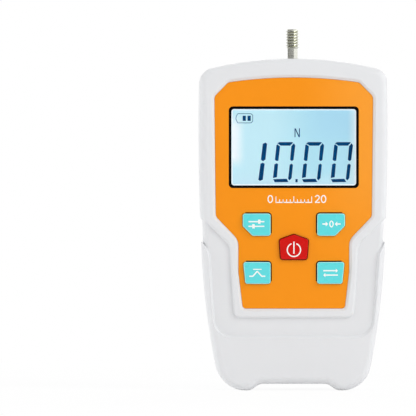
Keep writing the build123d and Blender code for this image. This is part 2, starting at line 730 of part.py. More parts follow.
pedestal_height, pedestal_width = 1.0, 9.0
ledge_top_z = cell_bottom_z - pedestal_height
ledge_foot_z = ledge_top_z - 5.0
bracket_foot_z = 101.0
bracket_leg = 3.0
bracket_inner_round = 2.5
stop_x = 5.5
bracket_inner_y = -plate_front_h - bracket_leg
with BuildPart() as cell_bracket:
    # an angle seen from the side: a leg flat on the chassis and a ledge under the load cell
    with BuildSketch(Plane.YZ.offset(cell_left_x)):
        with BuildLine():
            Polyline((-plate_front_h, bracket_foot_z), (-plate_front_h, ledge_top_z),
                     (-cell_width / 2, ledge_top_z), (-cell_width / 2, ledge_foot_z),
                     (bracket_inner_y, ledge_foot_z), (bracket_inner_y, bracket_foot_z), close=True)
        make_face()
    extrude(amount=cell_right_x - cell_left_x)
    inner_corner = (cell_bracket.edges().filter_by(Axis.X)
                    .sort_by_distance((0, bracket_inner_y, ledge_foot_z))[0])
    fillet(inner_corner, radius=bracket_inner_round)
    # the pedestal that the fixed end of the load cell stands on
    with BuildSketch(Plane.XY.offset(ledge_top_z)):
        with Locations((sum(cell_screw_xs) / 2, 0)):
            Rectangle(pedestal_width, cell_width)
    extrude(amount=pedestal_height)
    with BuildSketch(Plane.XY.offset(ledge_foot_z)):
        with Locations(*[(x, 0) for x in cell_screw_xs], (stop_x, 0)):
            Circle(cell_screw_r + 2 * fit)
    extrude(amount=cell_bottom_z - ledge_foot_z, mode=Mode.SUBTRACT)
finish(cell_bracket.part, "cell_bracket")

cell_head_r = 1.4
with BuildPart() as cell_screws:
    with BuildSketch(Plane.XY.offset(ledge_foot_z)):
        with Locations(*[(x, 0) for x in cell_screw_xs]):
            Circle(cell_head_r)
    extrude(amount=-screw_head_height)
    with BuildSketch(Plane.XY.offset(ledge_foot_z)):
        with Locations(*[(x, 0) for x in cell_screw_xs]):
            Circle(cell_screw_r)
    extrude(amount=cell_bottom_z + cell_screw_bite - 2 - ledge_foot_z)
finish(cell_screws.part, "cell_screws")

stop_head_r, stop_head_height = 2.2, 3.0
with BuildPart() as overload_stop:
    with BuildSketch(Plane.XY.offset(ledge_foot_z - stop_head_height)):
        with Locations((stop_x, 0)):
            RegularPolygon(stop_head_r, 6)
    extrude(amount=stop_head_height)
    with BuildSketch(Plane.XY.offset(ledge_foot_z)):
        with Locations((stop_x, 0)):
            Circle(cell_screw_r + fit)
    extrude(amount=cell_bottom_z - overload_gap - ledge_foot_z)
finish(overload_stop.part, "overload_stop")

thread_foot_z = shaft_top_z - thread_length
tip_chamfer = 0.6
with BuildPart() as sensing_shaft:
    with BuildSketch(Plane.XZ):
        with BuildLine():
            Polyline((0, shaft_foot_z), (shaft_r, shaft_foot_z),
                     (shaft_r, thread_foot_z + shaft_r - thread_r), (thread_r, thread_foot_z),
                     (thread_r, shaft_top_z - tip_chamfer), (thread_r - tip_chamfer, shaft_top_z),
                     (0, shaft_top_z), close=True)
        make_face()
    revolve(axis=Axis.Z)
finish(sensing_shaft.part, "sensing_shaft")

locknut_r, locknut_height = 4.1, 3.0
with BuildPart() as shaft_locknut:
    with BuildSketch(Plane.XY.offset(cell_top_z)):
        RegularPolygon(locknut_r, 6)
        Circle(shaft_r, mode=Mode.SUBTRACT)
    extrude(amount=locknut_height)
finish(shaft_locknut.part, "shaft_locknut")

# ---- shaft guide, clamped in the parting line ---------------------------------------------
guide_bore_r, guide_chamfer = 2.6, 0.4
guide_foot_z, guide_top_z = guide_seat_foot_z - 0.4, body_height - 0.9
with BuildPart() as shaft_guide:
    with BuildSketch(Plane.XZ):
        with BuildLine():
            Polyline((guide_bore_r, guide_foot_z), (guide_r, guide_foot_z),
                     (guide_r, guide_flange_foot_z), (guide_flange_r, guide_flange_foot_z),
                     (guide_flange_r, guide_flange_top_z), (guide_r, guide_flange_top_z),
                     (guide_r, guide_top_z), (guide_bore_r + guide_chamfer, guide_top_z),
                     (guide_bore_r, guide_top_z - guide_chamfer), close=True)
        make_face()
    revolve(axis=Axis.Z)
finish(shaft_guide.part, "shaft_guide")

# ---- battery, its tray and contacts -------------------------------------------------------
tray_wall, tray_floor, tray_depth = 1.2, 0.8, 9.0
tray_half_width = battery_length / 2 + tray_wall + 0.5
tray_margin = tray_wall + 0.2
tray_foot_z = battery_zs[0] - battery_r - tray_margin
tray_top_z = battery_zs[-1] + battery_r + tray_margin
tray_corner_r = 1.5
battery_tip_r, battery_tip = 2.6, 1.2
contact_thickness, contact_width, contact_height = 0.4, 8.0, 9.0
with BuildPart() as battery_tray:
    with BuildSketch(Plane.XZ.offset(plate_front_h)):
        with Locations((0, (tray_foot_z + tray_top_z) / 2)):
            RectangleRounded(2 * tray_half_width, tray_top_z - tray_foot_z, tray_corner_r)
    extrude(amount=tray_depth)
    with BuildSketch(Plane.XZ.offset(plate_front_h + tray_floor)):
        with Locations((0, (tray_foot_z + tray_top_z) / 2)):
            Rectangle(2 * (tray_half_width - tray_wall), tray_top_z - tray_foot_z - 2 * tray_wall)
    extrude(amount=tray_depth, mode=Mode.SUBTRACT)
finish(battery_tray.part, "battery_tray")

with BuildPart() as battery_cells:
    for z in battery_zs:
        with BuildSketch(Plane(origin=(-battery_length / 2, -battery_h, z), z_dir=(1, 0, 0))):
            Circle(battery_r)
        extrude(amount=battery_length - battery_tip)
        with BuildSketch(Plane(origin=(battery_length / 2 - battery_tip, -battery_h, z),
                               z_dir=(1, 0, 0))):
            Circle(battery_tip_r)
        extrude(amount=battery_tip)
finish(battery_cells.part, "battery_cells")

with BuildPart() as battery_contacts:
    for z in battery_zs:
        with Locations((battery_length / 2 + contact_thickness / 2, -battery_h, z),
                       (-battery_length / 2 - contact_thickness / 2, -battery_h, z)):
            Box(contact_thickness, contact_width, contact_height)
finish(battery_contacts.part, "battery_contacts")

# ---- charging socket, clamped in the parting line between the lobes -----------------------
socket_mouth_z = arch_z + 0.2
socket_floor_z, socket_top_z = 13.2, 17.0
pin_foot_z, pin_r, pin_chamfer = arch_z + 1.6, 1.0, 0.4
with BuildPart() as charging_socket:
    with BuildSketch(Plane.XZ):
        with BuildLine():
            Polyline((socket_bore_r, socket_mouth_z), (socket_r, socket_mouth_z),
                     (socket_r, socket_shoulder_z), (socket_body_r, socket_shoulder_z),
                     (socket_body_r, socket_top_z), (0, socket_top_z), (0, socket_floor_z),
                     (socket_bore_r, socket_floor_z), close=True)
        make_face()
    revolve(axis=Axis.Z)
finish(charging_socket.part, "charging_socket")

with BuildPart() as socket_pin:
    with BuildSketch(Plane.XY.offset(pin_foot_z)):
        Circle(pin_r)
    extrude(amount=socket_floor_z - pin_foot_z)
    chamfer(socket_pin.faces().sort_by(Axis.Z)[0].edges(), length=pin_chamfer)
finish(socket_pin.part, "socket_pin")

# ---- housing screws -----------------------------------------------------------------------
head_seat_h = -half_depth + screw_head_depth
housing_head_height, housing_screw_length = 1.9, 20.0
with BuildPart() as housing_screws:
    with BuildSketch(Plane.XZ.offset(head_seat_h)):
        with Locations(*housing_screw_xz):
            Circle(screw_head_r)
    extrude(amount=-housing_head_height)
    with BuildSketch(Plane.XZ.offset(head_seat_h)):
        with Locations(*housing_screw_xz):
            Circle(housing_screw_r)
    extrude(amount=housing_screw_length)
finish(housing_screws.part, "housing_screws")

print(len(made), "nodes:", ", ".join(made))
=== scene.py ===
# %% [markdown]
# # A hand-held force gauge
# The construction is already done: every shell, key, board and screw arrives as a fixed frame of
# CAD solids, in metres, with +Z up along the sensing shaft and the display facing -Y. This
# notebook dresses that frame: it finishes each surface, and adds what a CAD model leaves out,
# such as printed symbols, display segments, a real screw thread and cross recesses.

# %% Load the frame and note its size
import math

import bmesh
import bpy
from mathutils import Euler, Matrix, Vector


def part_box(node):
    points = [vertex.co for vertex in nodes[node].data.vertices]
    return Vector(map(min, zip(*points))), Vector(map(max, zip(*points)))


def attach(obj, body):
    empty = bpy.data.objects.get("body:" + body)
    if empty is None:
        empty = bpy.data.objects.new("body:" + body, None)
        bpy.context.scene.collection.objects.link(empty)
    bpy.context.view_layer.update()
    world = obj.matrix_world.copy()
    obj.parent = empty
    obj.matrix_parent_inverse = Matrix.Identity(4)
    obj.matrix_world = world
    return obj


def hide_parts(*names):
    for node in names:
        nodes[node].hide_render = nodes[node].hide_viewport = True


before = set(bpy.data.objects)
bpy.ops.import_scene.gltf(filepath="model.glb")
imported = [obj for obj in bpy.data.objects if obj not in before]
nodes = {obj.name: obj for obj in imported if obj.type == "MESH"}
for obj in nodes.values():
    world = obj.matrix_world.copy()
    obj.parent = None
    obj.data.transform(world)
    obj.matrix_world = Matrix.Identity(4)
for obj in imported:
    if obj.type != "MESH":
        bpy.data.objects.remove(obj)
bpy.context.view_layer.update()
MM = 0.001
MICRON = 0.001 * MM

# %% [markdown]
# ## Camera
# The gauge is seen almost square on, from far away through a long lens, so that its sides stay
# parallel. The camera stands a degree to the left of the gauge's own axis, which sets the panel
# and display a hair to the right of the housing behind them. The gauge stands right of the middle
# of the picture, so the camera looks beside it. A lens shift could do the same, but a moved
# camera keeps every other view simple.

# %% Camera
PICTURE_WIDTH = 187.2 * MM          # how much of the gauge's front plane the picture spans
FRONT_PLANE = 16.5 * MM             # how far that plane stands in front of the parting plane
CAMERA_X, CAMERA_Z = -38.3 * MM, 82.1 * MM
CAMERA_DISTANCE, CAMERA_TURN = 2.7, math.radians(-1.2)
SENSOR_MM, CLIP_END = 36.0, 20

camera_data = bpy.data.cameras.new("camera")
camera_data.sensor_width = SENSOR_MM
camera_data.lens = SENSOR_MM * CAMERA_DISTANCE / PICTURE_WIDTH
camera_data.clip_end = CLIP_END
camera = bpy.data.objects.new("camera", camera_data)
camera.location = Vector((CAMERA_X, -CAMERA_DISTANCE - FRONT_PLANE, CAMERA_Z))
camera.location.rotate(Euler((0, 0, CAMERA_TURN)))
camera.rotation_euler = (math.radians(90), 0, CAMERA_TURN)
bpy.context.collection.objects.link(camera)
bpy.context.scene.camera = camera
print("lens mm:", round(camera_data.lens))

# %% [markdown]
# ## Small tools for shader graphs
# Every finish below is a node graph, and a graph written out node by node hides what it does.
# These helpers keep them short: they add a node with its settings, start a material or a shader
# group, work out a number, turn a range of values into a mask, and mix in a second colour. Each
# takes a constant or another node's output alike.


# %% Shader helpers
def feed(tree, socket, value):
    """Give an input socket its constant, or join it to another node's output."""
    if isinstance(value, bpy.types.NodeSocket):
        tree.links.new(value, socket)
    else:
        socket.default_value = value


def add_node(tree, kind, **values):
    """A new node, with its properties and input sockets set by name."""
    node = tree.nodes.new(kind)
    for key, value in values.items():
        if hasattr(node, key):
            setattr(node, key, value)
        else:
            feed(tree, node.inputs[key.replace("_", " ")], value)
    return node


def rgb(red, green, blue):
    """A colour written as 0 to 255 on the screen, as the linear colour that shaders take."""
    def linear(value):
        value /= 255
        return value / 12.92 if value <= 0.04045 else ((value + 0.055) / 1.055) ** 2.4
    return (linear(red), linear(green), linear(blue), 1.0)


def new_material(name, **settings):
    """A material with one Principled shader. The settings are constants on its own sockets."""
    material = bpy.data.materials.new(name)
    material.use_nodes = True
    shader = material.node_tree.nodes["Principled BSDF"]
    for key, value in settings.items():
        shader.inputs[key.replace("_", " ")].default_value = value
    return material, material.node_tree, shader


def new_group(name, inputs, outputs):
    """An empty shader group with named sockets, and its input and output nodes."""
    group = bpy.data.node_groups.new(name, "ShaderNodeTree")
    for label, kind, value in inputs:
        socket = group.interface.new_socket(label, in_out="INPUT", socket_type=kind)
        socket.default_value = value
    for label, kind in outputs:
        group.interface.new_socket(label, in_out="OUTPUT", socket_type=kind)
    return group, group.nodes.new("NodeGroupInput"), group.nodes.new("NodeGroupOutput")


# %% Places, numbers, masks and mixed colours
def coordinates(tree, output="Object"):
    """The X, Y and Z outputs of a point on the object, or of a normal or a direction."""
    place = add_node(tree, "ShaderNodeTexCoord")
    return add_node(tree, "ShaderNodeSeparateXYZ", Vector=place.outputs[output]).outputs


def worked_out(tree, operation, *terms):
    """The result of a Math node."""
    node = add_node(tree, "ShaderNodeMath", operation=operation)
    for socket, term in zip(node.inputs, terms):
        feed(tree, socket, term)
    return node.outputs["Value"]


def distance_from_axis(tree):
    """How far a point on the object is from the upright axis through the origin."""
    point = coordinates(tree)
    squares = [worked_out(tree, "MULTIPLY", point[axis], point[axis]) for axis in "XY"]
    return worked_out(tree, "SQRT", worked_out(tree, "ADD", *squares))


def mask_between(tree, value, low, high, at_low=0.0, at_high=1.0, kind="SMOOTHSTEP"):
    """A value that goes from at_low to at_high while another goes from low to high."""
    ranged = add_node(tree, "ShaderNodeMapRange", interpolation_type=kind, Value=value,
                      From_Min=low, From_Max=high, To_Min=at_low, To_Max=at_high)
    return ranged.outputs["Result"]


MIX_UNDER, MIX_OVER, MIX_RESULT = 6, 7, 2      # a Mix node's sockets for colours, by number


def mixed_in(tree, mask, under, over):
    """The colour underneath, mixed with another one through a mask."""
    node = add_node(tree, "ShaderNodeMix", data_type="RGBA", Factor=mask)
    feed(tree, node.inputs[MIX_UNDER], under)
    feed(tree, node.inputs[MIX_OVER], over)
    return node.outputs[MIX_RESULT]


def recolour(material, mask, over):
    """Mix another colour into a finished material's base colour."""
    tree = material.node_tree
    base_colour = tree.nodes["Principled BSDF"].inputs["Base Color"]
    feed(tree, base_colour, mixed_in(tree, mask, base_colour.links[0].from_socket, over))


# %% [markdown]
# ## Moulded grain
# A housing's mould is spark-eroded, which leaves a fine pebbled skin on the plastic. Seen close,
# it breaks up the highlight; seen from afar, the colour also drifts a little with handling. A
# bitmap could hold it, but noise in object space needs no unwrapping and has no seams, and as a
# group it serves every moulded piece, each with its own grain size.

# %% Moulded grain group
FLOAT, COLOUR = "NodeSocketFloat", "NodeSocketColor"
grain_group, entry, leave = new_group(
    "Moulded grain",
    [("Colour", COLOUR, (0.8, 0.8, 0.8, 1)), ("Grain size", FLOAT, 2200.0),
     ("Drift", FLOAT, 0.03), ("Roughness", FLOAT, 0.45), ("Roughness spread", FLOAT, 0.06)],
    [("Colour", COLOUR), ("Roughness", FLOAT), ("Height", FLOAT)])
place = add_node(grain_group, "ShaderNodeTexCoord").outputs["Object"]
pebbles = add_node(grain_group, "ShaderNodeTexNoise", Vector=place,
                   Scale=entry.outputs["Grain size"], Detail=3.0, Roughness=0.55)
clouds = add_node(grain_group, "ShaderNodeTexNoise", Vector=place, Scale=38.0, Detail=4.0,
                  Roughness=0.6)
drift = mask_between(grain_group, clouds.outputs["Fac"], 0.3, 0.7, kind="LINEAR")
darker = add_node(grain_group, "ShaderNodeHueSaturation", Color=entry.outputs["Colour"],
                  Value=0.9, Saturation=1.03)
amount = worked_out(grain_group, "MULTIPLY", drift, entry.outputs["Drift"])
blend = mixed_in(grain_group, amount, entry.outputs["Colour"], darker.outputs["Color"])
centred = worked_out(grain_group, "SUBTRACT", drift, 0.5)
spread = worked_out(grain_group, "MULTIPLY", centred, entry.outputs["Roughness spread"])
rough = worked_out(grain_group, "ADD", entry.outputs["Roughness"], spread)
feed(grain_group, leave.inputs["Colour"], blend)
feed(grain_group, leave.inputs["Roughness"], rough)
feed(grain_group, leave.inputs["Height"], pebbles.outputs["Fac"])
print("group:", grain_group.name)


# %% [markdown]
# ## Plastics
# All the plastics share that skin. The housing and the panel are satin, so they take more grain;
# the keys are polished, with a thin clear coat that catches a sharp highlight along each edge;
# the display frame is the blackest, with very little shine.


# %% Plastic finishes
def moulded_plastic(name, colour, roughness, grain, depth, drift=0.03, coat=0.0, ior=1.46):
    """A moulded plastic: coloured, grained to a depth in microns and, if polished, coated."""
    material, tree, shader = new_material(
        name, Coat_Weight=coat, Coat_Roughness=0.06, IOR=ior)
    skin = add_node(tree, "ShaderNodeGroup", node_tree=grain_group, Colour=colour,
                    Grain_size=grain, Roughness=roughness, Drift=drift)
    bump = add_node(tree, "ShaderNodeBump", Strength=1.0, Distance=depth * MICRON,
                    Height=skin.outputs["Height"])
    feed(tree, shader.inputs["Base Color"], skin.outputs["Colour"])
    feed(tree, shader.inputs["Roughness"], skin.outputs["Roughness"])
    feed(tree, shader.inputs["Normal"], bump.outputs["Normal"])
    return material


FINE_GRAIN, COARSE_GRAIN = 4200.0, 2600.0
housing_white = moulded_plastic("housing white", rgb(229, 230, 232), 0.46, COARSE_GRAIN, 8,
                                drift=0.12)
panel_orange = moulded_plastic("panel orange", rgb(250, 148, 4), 0.42, FINE_GRAIN, 4,
                               drift=0.2, ior=1.3)
key_cyan = moulded_plastic("key cyan", rgb(92, 222, 226), 0.27, FINE_GRAIN, 2, drift=0.1,
                           coat=0.35)
key_red = moulded_plastic("key red", rgb(210, 12, 4), 0.28, FINE_GRAIN, 2, drift=0.1,
                          coat=0.1, ior=1.25)
bezel_black = moulded_plastic("frame black", rgb(3, 3, 6), 0.2, FINE_GRAIN, 1, ior=1.2)
print("plastics ready")

# %% [markdown]
# The panel is a printed film. Its orange runs a little paler towards the upper right corner, which
# is a painted highlight standing in for the sheen of a lamp on the right. Two masks over the
# panel's own length and height, multiplied, keep the change to that corner.

# %% Painted highlight on the panel's upper right corner
tree = panel_orange.node_tree
point = coordinates(tree)
rightward = mask_between(tree, point["X"], 0, 36 * MM)
upward = mask_between(tree, point["Z"], 45 * MM, 110 * MM)
recolour(panel_orange, worked_out(tree, "MULTIPLY", rightward, upward), rgb(250, 158, 44))
print("panel corner ready")

# %% [markdown]
# Each key's rounded rim gets a painted colour: a painted highlight on the blue-green keys, which go
# paler there, and painted shade on the red one, which goes deeper. The rim is found by its own
# direction on the key, because only the flat face looks straight ahead, and the colour is mixed
# there. An edge drawn as a separate ring would need its own piece for every key.


# %% Painted highlight and shade on the rims of the keys
def paint_rim_light_and_shade(material, rim):
    """Mix another colour in where a surface turns away from straight ahead (-Y), as painted light
    and shade on a rim.
    """
    facing = coordinates(material.node_tree, "Normal")["Y"]
    recolour(material, mask_between(material.node_tree, facing, -0.99, -0.75), rim)


# A painted highlight on the blue-green rims, and painted shade on the red one.
paint_rim_light_and_shade(key_cyan, rgb(185, 255, 255))
paint_rim_light_and_shade(key_red, rgb(120, 2, 0))
print("rims ready")


# %% [markdown]
# ## Metals
# There are three metals: the plated steel of the shaft and screws, the turned brass of the stand
# inserts, and the aluminium of the load cell and chassis inside. Bare metal takes its look from
# what surrounds it and from fine tool marks. The marks are noise squeezed along the turning axis,
# which gives rings on a shaft, and the same group serves milled plate when it is squeezed along
# another axis.

# %% Tool marks group
VECTOR = "NodeSocketVector"
marks_group, entry, leave = new_group(
    "Tool marks",
    [("Squeeze", VECTOR, (60.0, 60.0, 9000.0)), ("Roughness", FLOAT, 0.3),
     ("Roughness spread", FLOAT, 0.15)],
    [("Roughness", FLOAT), ("Height", FLOAT), ("Stain", FLOAT)])
place = add_node(marks_group, "ShaderNodeTexCoord").outputs["Object"]
squeeze = add_node(marks_group, "ShaderNodeVectorMath", operation="MULTIPLY", Vector=place)
feed(marks_group, squeeze.inputs[1], entry.outputs["Squeeze"])
marks = add_node(marks_group, "ShaderNodeTexNoise", Vector=squeeze.outputs["Vector"],
                 Scale=1.0, Detail=2.0)
stain = add_node(marks_group, "ShaderNodeTexNoise", Vector=place, Scale=260.0, Detail=4.0)
centred = worked_out(marks_group, "SUBTRACT", marks.outputs["Fac"], 0.5)
spread = worked_out(marks_group, "MULTIPLY_ADD", centred, entry.outputs["Roughness spread"],
                    entry.outputs["Roughness"])
feed(marks_group, leave.inputs["Roughness"], spread)
feed(marks_group, leave.inputs["Height"], marks.outputs["Fac"])
feed(marks_group, leave.inputs["Stain"], stain.outputs["Fac"])
print("group:", marks_group.name)


# %% Metal finishes
def machined_metal(name, colour, tarnish, roughness, squeeze):
    """A bare metal with tool marks, a little darker where handling has dulled it."""
    material, tree, shader = new_material(name, Metallic=1.0)
    marks = add_node(tree, "ShaderNodeGroup", node_tree=marks_group, Squeeze=squeeze,
                     Roughness=roughness)
    bump = add_node(tree, "ShaderNodeBump", Strength=1.0, Distance=1 * MICRON,
                    Height=marks.outputs["Height"])
    feed(tree, shader.inputs["Base Color"],
         mixed_in(tree, marks.outputs["Stain"], colour, tarnish))
    feed(tree, shader.inputs["Roughness"], marks.outputs["Roughness"])
    feed(tree, shader.inputs["Normal"], bump.outputs["Normal"])
    return material


ROUND_Z, ROUND_Y = (60.0, 60.0, 9000.0), (60.0, 9000.0, 60.0)
MILLED_X = (300.0, 9000.0, 9000.0)
shaft_steel = machined_metal("shaft steel", rgb(246, 246, 240), rgb(224, 224, 212), 0.27, ROUND_Z)
nut_steel = machined_metal("nut steel", rgb(206, 206, 202), rgb(176, 176, 172), 0.3, ROUND_Z)
screw_steel = machined_metal("screw steel", rgb(205, 205, 203), rgb(170, 170, 168), 0.3, ROUND_Y)
turned_brass = machined_metal("turned brass", rgb(214, 178, 104), rgb(178, 138, 70), 0.28, ROUND_Y)
milled_aluminium = machined_metal("milled aluminium", rgb(218, 220, 222), rgb(196, 198, 200),
                                  0.36, MILLED_X)
print("metals ready")


# %% [markdown]
# ## Display
# The glass is a positive liquid-crystal cell in front of a blue-white light guide. It glows, and
# not evenly: the lamp stands at the left edge, where the middle of the glow is nearly white, the
# right and lower edges are paler than the middle, and the upper right is the darkest. A painted
# picture would be a shortcut. Soft masks over the glass's own length and height do the same and
# stay smooth at any size.

# %% Display glow
display_glow, glow_tree, shader = new_material("display glow", Roughness=0.3,
                                               Base_Color=rgb(120, 150, 165),
                                               Emission_Strength=0.73)
glass_point = coordinates(glow_tree)


def soft_mask(axis, clear, full, strength=1.0):
    """A mask that rises smoothly from one place (mm) to another along X or Z."""
    ends = (0.0, strength) if full > clear else (strength, 0.0)
    return mask_between(glow_tree, glass_point[axis], min(clear, full) * MM,
                        max(clear, full) * MM, *ends)


def overlap(*masks):
    """The product of several masks: full only where all of them are."""
    result = masks[0]
    for mask in masks[1:]:
        result = worked_out(glow_tree, "MULTIPLY", result, mask)
    return result


# %% Glow colours, from the base colour up
GLOW_X, GLOW_Z = (-27.6, 27.9), (92.7, 126.2)      # the lit part of the glass, in mm
glow = mixed_in(glow_tree, soft_mask("X", -12.0, 10.0), rgb(198, 238, 247), rgb(174, 225, 240))
upper_right = overlap(soft_mask("X", 0.0, 18.0), soft_mask("Z", 106.0, 120.0, 0.75))
glow = mixed_in(glow_tree, upper_right, glow, rgb(161, 213, 237))
foot = soft_mask("Z", GLOW_Z[0] + 7.0, GLOW_Z[0], 0.8)
glow = mixed_in(glow_tree, foot, glow, rgb(204, 236, 248))
right_edge = soft_mask("X", GLOW_X[1] - 4.0, GLOW_X[1], 0.8)
glow = mixed_in(glow_tree, right_edge, glow, rgb(226, 244, 250))
lamp_side = overlap(soft_mask("X", GLOW_X[0] + 6.5, GLOW_X[0] + 0.6),
                    soft_mask("Z", 99.0, 106.0), soft_mask("Z", 126.0, 117.0))
glow = mixed_in(glow_tree, lamp_side, glow, rgb(255, 255, 255))
feed(glow_tree, shader.inputs["Emission Color"], glow)
print("glow nodes:", len(glow_tree.nodes))

# %% [markdown]
# The window in front of the glass is clear plastic. It lets the light through, and its index is
# set low, because a strong reflection would hide the glow. The segments are dyed layers in the
# glass, so they are dull and dark, and the printing on the keys and panel is an opaque white ink.

# %% Window, segments and printing inks
window_clear = new_material("window clear", Base_Color=(1, 1, 1, 1), Roughness=0.02,
                            Transmission_Weight=1.0, IOR=1.1)[0]
# A pale, faintly glowing material: a painted highlight for the window's polished rim.
painted_rim_highlight = new_material("painted window rim highlight", Base_Color=rgb(236, 246, 252), Roughness=0.2,
                        Emission_Color=rgb(226, 242, 255), Emission_Strength=0.2)[0]
segment_blue = moulded_plastic("segment blue", rgb(4, 78, 136), 0.35, FINE_GRAIN, 0, ior=1.15)
segment_pale = moulded_plastic("segment pale", rgb(96, 150, 174), 0.35, FINE_GRAIN, 0)
print_white = moulded_plastic("print white", rgb(250, 250, 246), 0.5, FINE_GRAIN, 1, drift=0.15)
holder_white = moulded_plastic("display holder white", rgb(238, 242, 244), 0.4, FINE_GRAIN, 2)
print("display finishes ready")

# %% [markdown]
# ## Electronics
# Nothing inside shows on a closed gauge, but the shelf part can be opened, so the boards and
# cells get their own finishes: a green solder mask with a faint weave from the glass cloth under
# it, matt black chip bodies, an amber film on the strain gauges and a blue wrap on the cells.

# %% Finishes inside the housing
board_green, tree, shader = new_material("solder mask green", Roughness=0.32, Coat_Weight=0.3)
place = add_node(tree, "ShaderNodeTexCoord").outputs["Object"]
weave = add_node(tree, "ShaderNodeTexChecker", Vector=place, Scale=1300.0,
                 Color1=rgb(18, 110, 62), Color2=rgb(14, 98, 54))
bump = add_node(tree, "ShaderNodeBump", Strength=1.0, Distance=3 * MICRON,
                Height=weave.outputs["Fac"])
feed(tree, shader.inputs["Base Color"], weave.outputs["Color"])
feed(tree, shader.inputs["Normal"], bump.outputs["Normal"])
gauge_film = moulded_plastic("gauge film", rgb(196, 132, 48), 0.35, FINE_GRAIN, 2)
nylon_black = moulded_plastic("nylon black", rgb(26, 26, 28), 0.42, COARSE_GRAIN, 4)
connector_cream = moulded_plastic("connector cream", rgb(232, 226, 205), 0.4, FINE_GRAIN, 3)
battery_blue = moulded_plastic("battery wrap", rgb(38, 96, 160), 0.25, FINE_GRAIN, 2, coat=0.4)
print("inside finishes ready")

# %% [markdown]
# One table says which finish each CAD node has. Giving each node its material where that is made
# would scatter this, and a forgotten node would stay grey; here it is printed by name.

# %% Give every CAD node its finish
FINISHES = {
    housing_white: ["front_housing", "rear_housing"],
    panel_orange: ["face_panel"],
    bezel_black: ["display_bezel"],
    window_clear: ["display_lens"],
    holder_white: ["display_holder", "display_backlight"],
    display_glow: ["display_glass"],
    key_cyan: ["set_key", "zero_key", "peak_key", "unit_key"],
    key_red: ["power_key"],
    nylon_black: ["set_plunger", "zero_plunger", "peak_plunger", "unit_plunger",
                  "power_plunger", "switch_cases", "board_chips", "battery_tray",
                  "charging_socket"],
    board_green: ["main_board"],
    connector_cream: ["board_connectors"],
    battery_blue: ["battery_cells"],
    gauge_film: ["strain_gauges"],
    shaft_steel: ["sensing_shaft"],
    nut_steel: ["shaft_locknut", "shaft_guide", "overload_stop", "cell_screws"],
    screw_steel: ["housing_screws", "board_screws", "chassis_screws", "battery_contacts",
                  "socket_pin"],
    turned_brass: ["stand_inserts"],
    milled_aluminium: ["chassis_plate", "load_cell", "cell_bracket"],
}
for material, names in FINISHES.items():
    for name in names:
        nodes[name].data.materials.clear()
        nodes[name].data.materials.append(material)
unfinished = set(nodes) - {name for names in FINISHES.values() for name in names}
print("nodes without a finish:", sorted(unfinished))


# %% [markdown]
# ## Flat inked shapes
# Digits, symbols and printing are thin layers of ink. They could be painted by a shader mask,
# but as thin solids they stay sharp at any distance, and they are real pieces that ride on what
# they are printed on. Each one is a list of outlines seen from the front, in millimetres, given a
# hair of thickness. Strokes that cross get slightly different heights, because two faces in one
# plane would shade each other.


# %% Ink builder
INK_THICKNESS, LAYER_STEP, LAYERS = 0.03, 0.005, 3


def object_from(mesh, name, material):
    """Turn a finished bmesh into an object with one material."""
    bmesh.ops.recalc_face_normals(mesh, faces=mesh.faces)
    data = bpy.data.meshes.new(name)
    mesh.to_mesh(data)
    mesh.free()
    piece = bpy.data.objects.new(name, data)
    bpy.context.collection.objects.link(piece)
    data.materials.append(material)
    return piece


def ink(name, outlines, height, material, body):
    """Thin solids of ink on the plane that lies height mm in front of the parting plane."""
    mesh = bmesh.new()
    for layer, outline in enumerate(outlines):
        top = height + INK_THICKNESS + LAYER_STEP * (layer % LAYERS)
        back = [mesh.verts.new((x * MM, -height * MM, z * MM)) for x, z in outline]
        front = [mesh.verts.new((x * MM, -top * MM, z * MM)) for x, z in outline]
        mesh.faces.new(front)
        mesh.faces.new(back[::-1])
        for i in range(len(outline)):
            j = (i + 1) % len(outline)
            mesh.faces.new((front[i], back[i], back[j], front[j]))
    piece = object_from(mesh, name, material)
    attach(piece, body)
    print(name, "outlines:", len(outlines))


# %% Strokes to draw with
ROUND_STEPS, CORNER_STEPS = 28, 8   # short pieces in a round stroke, and in a quarter turn


def bar(x0, z0, x1, z1, width):
    """A straight stroke from one point to another, as an outline."""
    along = Vector((x1 - x0, z1 - z0)).normalized() * width / 2
    side = Vector((-along.y, along.x))
    return [(x0 + side.x, z0 + side.y), (x0 - side.x, z0 - side.y),
            (x1 - side.x, z1 - side.y), (x1 + side.x, z1 + side.y)]


def block(x0, z0, x1, z1):
    """An upright rectangle between two corners."""
    return [(x0, z0), (x1, z0), (x1, z1), (x0, z1)]


def arc_band(x, z, radius_x, radius_z, width, start=0, sweep=360, steps=ROUND_STEPS):
    """A curved stroke as a chain of four-cornered pieces, round an ellipse's middle."""
    pieces = []
    for step in range(steps):
        a = math.radians(start + sweep * step / steps)
        b = math.radians(start + sweep * (step + 1) / steps)
        corners = []
        for angle, side in ((a, 1), (b, 1), (b, -1), (a, -1)):
            corners.append((x + math.cos(angle) * (radius_x + side * width / 2),
                            z + math.sin(angle) * (radius_z + side * width / 2)))
        pieces.append(corners)
    return pieces


# %% [markdown]
# ## The reading
# A digit has seven bars, of which a nought lights the six outer ones and a 1 the two on the
# right. Each bar is pointed where it meets its neighbours, with a thin gap between them, and the
# whole digit leans, as on most instrument displays. The upright bars are a little thicker than
# the level ones, and the pair of a 1 is thicker still. A font would give smooth numerals, so each
# bar's corners are set out from the digit's own box instead.

# %% Digits
GLASS_FACE = -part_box("display_glass")[0][1] / MM    # in mm in front of the parting plane
DIGIT_FOOT, DIGIT_HEIGHT, DIGIT_WIDTH = 93.7, 18.1, 8.5
DIGIT_PITCH, FIRST_DIGIT_X = 13.02, -22.5
MIDDLE_GAP, LEVEL_BAR = 0.5, 1.6
LEAN = math.tan(math.radians(6))


